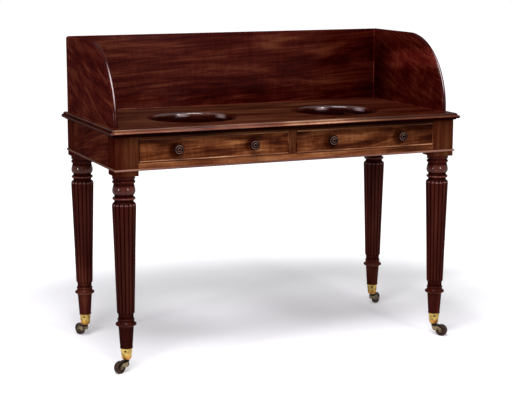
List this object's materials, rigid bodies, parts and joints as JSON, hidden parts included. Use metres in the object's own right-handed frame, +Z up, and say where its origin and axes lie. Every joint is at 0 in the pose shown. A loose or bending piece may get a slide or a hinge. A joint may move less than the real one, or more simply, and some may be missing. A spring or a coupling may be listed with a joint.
{
  "type": "double washstand",
  "caption": "Free-standing timber washstand with round basin holes in its moulded top, a three-sided splash gallery, frieze drawers, reeded legs and swivelling brass casters.",
  "frame": {"origin": "on the floor, under the middle of the piece measured over the knobs and the gallery", "axes": "+X to the right along the front, +Y to the wall, +Z up"},
  "size_m": [1.2, 0.562, 1.012],
  "materials": {
    "top_mahogany": "French-polished dark mahogany, straight figure along the front",
    "gallery_mahogany": "French-polished flame-figured mahogany",
    "leg_mahogany": "French-polished very dark mahogany",
    "rail_mahogany": "French-polished mahogany",
    "drawer_mahogany": "French-polished golden brown mahogany with horizontal streaks",
    "knob_mahogany": "turned and polished dark mahogany",
    "lining_timber": "bare planed oak and pine, aged",
    "cup_brass": "bright lacquered cast brass",
    "caster_brass": "dull aged brass",
    "screw_brass": "dull brass"
  },
  "bodies": {
    "frame": {"top_board": "top_mahogany", "gallery_back": "gallery_mahogany", "gallery_left_end": "gallery_mahogany", "gallery_right_end": "gallery_mahogany", "leg_front_left": "leg_mahogany", "leg_front_right": "leg_mahogany", "leg_back_left": "leg_mahogany", "leg_back_right": "leg_mahogany", "side_rail_left": "rail_mahogany", "side_rail_right": "rail_mahogany", "back_rail": "rail_mahogany", "front_top_rail": "rail_mahogany", "front_bottom_rail": "rail_mahogany", "drawer_divider": "rail_mahogany", "bead_front": "rail_mahogany", "bead_left": "rail_mahogany", "bead_right": "rail_mahogany", "drawer_runners": "lining_timber", "drawer_guides": "lining_timber", "drawer_kickers": "lining_timber", "drawer_stops": "lining_timber", "glue_blocks": "lining_timber", "caster_cup_front_left": "cup_brass", "caster_cup_front_right": "cup_brass", "caster_cup_back_left": "cup_brass", "caster_cup_back_right": "cup_brass", "cup_screws": "screw_brass"},
    "left_drawer": {"left_drawer_front": "drawer_mahogany", "left_drawer_cockbead": "drawer_mahogany", "left_drawer_sides": "lining_timber", "left_drawer_backs": "lining_timber", "left_drawer_well_wall": "lining_timber", "left_drawer_bottom": "lining_timber", "left_drawer_knob_left": "knob_mahogany", "left_drawer_knob_right": "knob_mahogany"},
    "right_drawer": {"right_drawer_front": "drawer_mahogany", "right_drawer_cockbead": "drawer_mahogany", "right_drawer_sides": "lining_timber", "right_drawer_backs": "lining_timber", "right_drawer_well_wall": "lining_timber", "right_drawer_bottom": "lining_timber", "right_drawer_knob_left": "knob_mahogany", "right_drawer_knob_right": "knob_mahogany"},
    "swivel_front_left": {"caster_horn_front_left": "caster_brass", "caster_axle_front_left": "caster_brass"},
    "wheel_front_left": {"caster_wheel_front_left": "caster_brass"},
    "swivel_front_right": {"caster_horn_front_right": "caster_brass", "caster_axle_front_right": "caster_brass"},
    "wheel_front_right": {"caster_wheel_front_right": "caster_brass"},
    "swivel_back_left": {"caster_horn_back_left": "caster_brass", "caster_axle_back_left": "caster_brass"},
    "wheel_back_left": {"caster_wheel_back_left": "caster_brass"},
    "swivel_back_right": {"caster_horn_back_right": "caster_brass", "caster_axle_back_right": "caster_brass"},
    "wheel_back_right": {"caster_wheel_back_right": "caster_brass"}
  },
  "joints": [
    {"name": "left_drawer_slide", "type": "slide", "parent": "frame", "child": "left_drawer", "axis": [0, -1, 0], "range_m": [0, 0.24]},
    {"name": "right_drawer_slide", "type": "slide", "parent": "frame", "child": "right_drawer", "axis": [0, -1, 0], "range_m": [0, 0.24]},
    {"name": "swivel_front_left", "type": "hinge", "parent": "frame", "child": "swivel_front_left", "pos_m": [-0.5475, -0.2215, 0.045], "axis": [0, 0, 1], "continuous": true},
    {"name": "roll_front_left", "type": "hinge", "parent": "swivel_front_left", "child": "wheel_front_left", "pos_m": [-0.57378, -0.23376, 0.02], "axis": [0.4226, -0.9063, 0], "continuous": true},
    {"name": "swivel_front_right", "type": "hinge", "parent": "frame", "child": "swivel_front_right", "pos_m": [0.5475, -0.2215, 0.045], "axis": [0, 0, 1], "continuous": true},
    {"name": "roll_front_right", "type": "hinge", "parent": "swivel_front_right", "child": "wheel_front_right", "pos_m": [0.56455, -0.24496, 0.02], "axis": [0.809, 0.5878, 0], "continuous": true},
    {"name": "swivel_back_left", "type": "hinge", "parent": "frame", "child": "swivel_back_left", "pos_m": [-0.5475, 0.2295, 0.045], "axis": [0, 0, 1], "continuous": true},
    {"name": "roll_back_left", "type": "hinge", "parent": "swivel_back_left", "child": "wheel_back_left", "pos_m": [-0.55883, 0.2562, 0.02], "axis": [-0.9205, -0.3907, 0], "continuous": true},
    {"name": "swivel_back_right", "type": "hinge", "parent": "frame", "child": "swivel_back_right", "pos_m": [0.5475, 0.2295, 0.045], "axis": [0, 0, 1], "continuous": true},
    {"name": "roll_back_right", "type": "hinge", "parent": "swivel_back_right", "child": "wheel_back_right", "pos_m": [0.57182, 0.2453, 0.02], "axis": [-0.5446, 0.8387, 0], "continuous": true}
  ]
}
